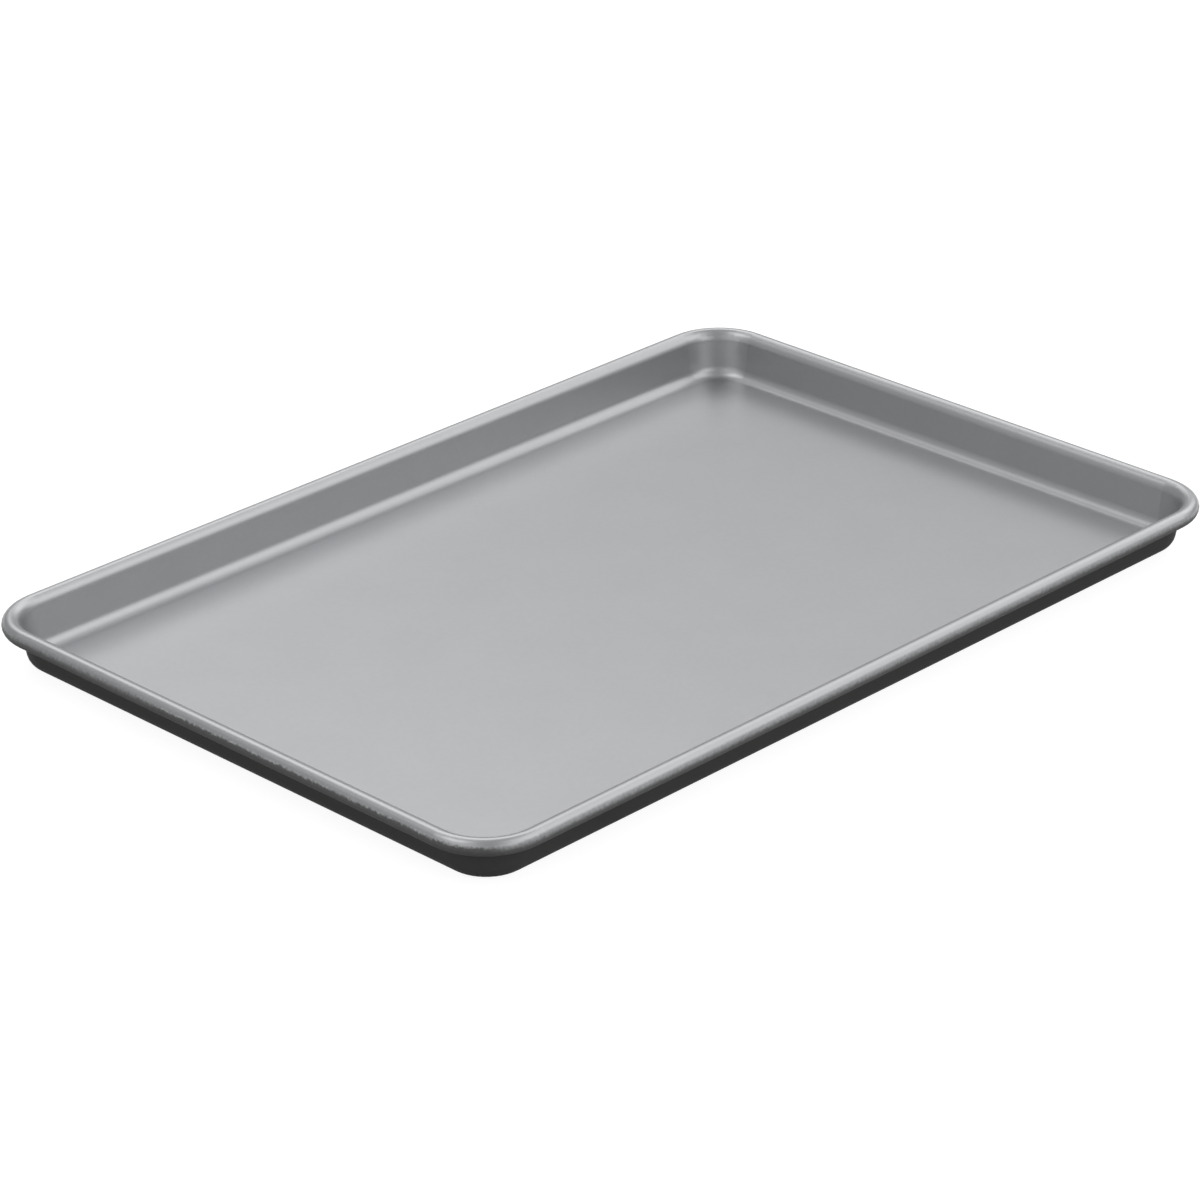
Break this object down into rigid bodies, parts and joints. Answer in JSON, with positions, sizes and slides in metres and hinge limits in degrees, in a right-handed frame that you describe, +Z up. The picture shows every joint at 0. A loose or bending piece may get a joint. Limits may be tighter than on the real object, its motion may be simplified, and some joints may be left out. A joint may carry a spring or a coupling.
{
  "type": "jelly roll pan",
  "caption": "Shallow rectangular baking pan with round corners, flared walls and a rim rolled over a wire.",
  "frame": {"origin": "on the table, under the middle of the pan", "axes": "+X along the long sides, +Y along the short sides, +Z up out of the pan's open side"},
  "size_m": [0.3938, 0.2658, 0.0197],
  "materials": {
    "coated_sheet": "satin silver-grey non-stick coat inside and over the rim, darker coat outside",
    "rim_wire_steel": "plain drawn steel wire"
  },
  "bodies": {
    "root": {"pan_shell": "coated_sheet", "rim_wire": "rim_wire_steel"}
  },
  "joints": []
}
